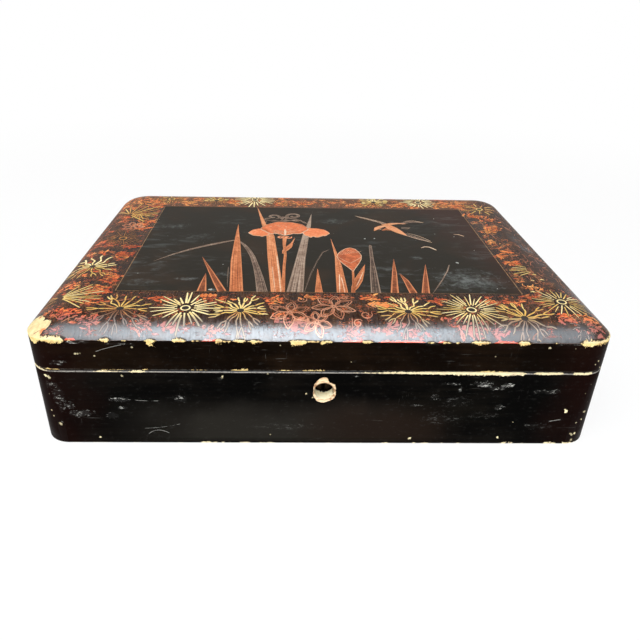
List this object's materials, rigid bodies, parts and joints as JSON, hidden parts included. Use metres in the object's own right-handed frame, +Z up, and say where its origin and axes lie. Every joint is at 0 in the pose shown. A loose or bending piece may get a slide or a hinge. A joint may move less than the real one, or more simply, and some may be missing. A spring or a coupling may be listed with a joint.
{
  "type": "lacquered writing box",
  "caption": "Shallow rectangular lacquered wooden writing box with a low crowned hinged lid, rounded upright corners, a front keyhole and a fitted inkstone bay.",
  "frame": {"origin": "middle of the rest face, at the height of the surface that the box stands on", "axes": "+X to the right along the long side, +Y to the hinged back, +Z up"},
  "size_m": [0.3, 0.215, 0.074],
  "materials": {
    "base_lacquer": "worn brown-black lacquer over a cream ground on thin softwood boards",
    "lid_lacquer": "worn brown-black lacquer, cream ground showing at the edges",
    "top_lacquer": "black lacquer with gold, copper and orange sprinkled-metal decoration, scuffed",
    "inside_lacquer": "dark brown lacquer with sparse gold flakes",
    "slate": "honed black slate",
    "bronze": "dark patinated bronze",
    "fitting_brass": "tarnished brass sheet",
    "screw_brass": "tarnished brass",
    "lock_steel": "dull lock steel"
  },
  "bodies": {
    "base": {"base_bottom_board": "base_lacquer", "base_front_board": "base_lacquer", "base_back_board": "base_lacquer", "base_left_board": "base_lacquer", "base_right_board": "base_lacquer", "front_lip_strip": "inside_lacquer", "back_lip_strip": "inside_lacquer", "left_lip_strip": "inside_lacquer", "right_lip_strip": "inside_lacquer", "left_partition": "inside_lacquer", "right_partition": "inside_lacquer", "stone_bed_board": "inside_lacquer", "inkstone": "slate", "water_dropper": "bronze", "left_hinge_base_leaf": "fitting_brass", "right_hinge_base_leaf": "fitting_brass", "left_hinge_pin": "screw_brass", "right_hinge_pin": "screw_brass", "base_hinge_screws": "screw_brass", "lock_case": "fitting_brass", "lock_cap": "fitting_brass", "lock_key_pin": "lock_steel", "lock_spring": "lock_steel", "lock_screws": "screw_brass"},
    "lid": {"lid_top_panel": "top_lacquer", "lid_front_board": "lid_lacquer", "lid_back_board": "lid_lacquer", "lid_left_board": "lid_lacquer", "lid_right_board": "lid_lacquer", "left_hinge_lid_leaf": "fitting_brass", "right_hinge_lid_leaf": "fitting_brass", "lid_hinge_screws": "screw_brass", "lock_strike": "fitting_brass", "strike_screws": "screw_brass"},
    "bolt": {"lock_bolt": "lock_steel"}
  },
  "joints": [
    {"name": "lid_hinge", "type": "hinge", "parent": "base", "child": "lid", "pos_m": [0, 0.1054, 0.048], "axis": [-1, 0, 0], "range_deg": [0, 100]},
    {"name": "bolt_slide", "type": "slide", "parent": "base", "child": "bolt", "axis": [1, 0, 0], "range_m": [0, 0.005]}
  ]
}
